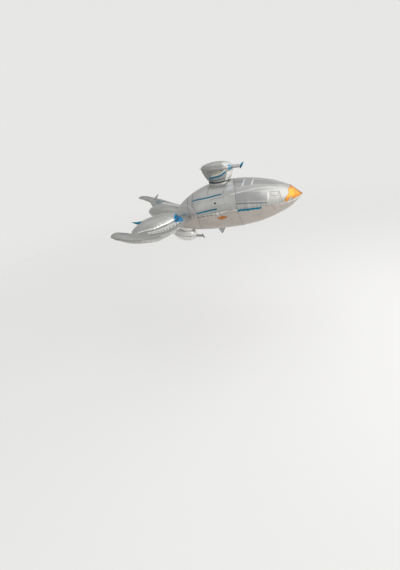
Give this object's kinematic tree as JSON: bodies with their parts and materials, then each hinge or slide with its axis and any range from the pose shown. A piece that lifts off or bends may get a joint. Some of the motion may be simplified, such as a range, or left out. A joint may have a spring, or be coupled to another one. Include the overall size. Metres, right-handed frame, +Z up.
{
  "type": "spaceship foil balloon",
  "caption": "Inflated foil balloon in the shape of a spaceship: pointed hull with gold nose, long curved wings, two engine pillows, tail pod and small gun turrets on back and belly.",
  "frame": {"origin": "on the hull's axis under the upper turret, about the centre of buoyancy", "axes": "+X towards the nose, +Y to the balloon's left, +Z up"},
  "size_m": [1.268, 1.0342, 0.5366],
  "materials": {
    "foil_silver": "satin silver-grey metallised film, printed with fine panel lines and flat blue stripes",
    "foil_taupe": "satin warm grey metallised film, printed",
    "foil_gold": "glossy translucent gold ink over metallised film",
    "foil_teal": "glossy translucent blue ink over metallised film",
    "foil_navy": "dark blue-grey film",
    "foil_pale": "bright unprinted film, crimped where it is heat-sealed"
  },
  "bodies": {
    "root": {"hull_upper": "foil_silver", "nose_cap": "foil_gold", "hull_lower_left": "foil_taupe", "hull_lower_right": "foil_taupe", "seam_left": "foil_pale", "seam_right": "foil_pale", "seam_keel": "foil_pale", "fill_tab": "foil_pale", "tail_pod_upper": "foil_silver", "tail_pod_lower": "foil_taupe", "tail_tip": "foil_teal", "top_turret_bowl": "foil_silver", "top_turret_dome": "foil_silver", "top_turret_pad": "foil_navy", "top_turret_barrel": "foil_pale", "top_turret_muzzle": "foil_teal", "belly_turret_bowl": "foil_silver", "belly_turret_dome": "foil_silver", "belly_turret_pad": "foil_navy", "belly_turret_barrel": "foil_pale", "belly_turret_muzzle": "foil_teal", "wing_left_upper": "foil_silver", "wing_left_lower": "foil_taupe", "engine_left_upper": "foil_silver", "engine_left_lower": "foil_taupe", "wing_right_upper": "foil_silver", "wing_right_lower": "foil_taupe", "engine_right_upper": "foil_silver", "engine_right_lower": "foil_taupe", "wing_fin_left": "foil_silver"}
  },
  "joints": []
}
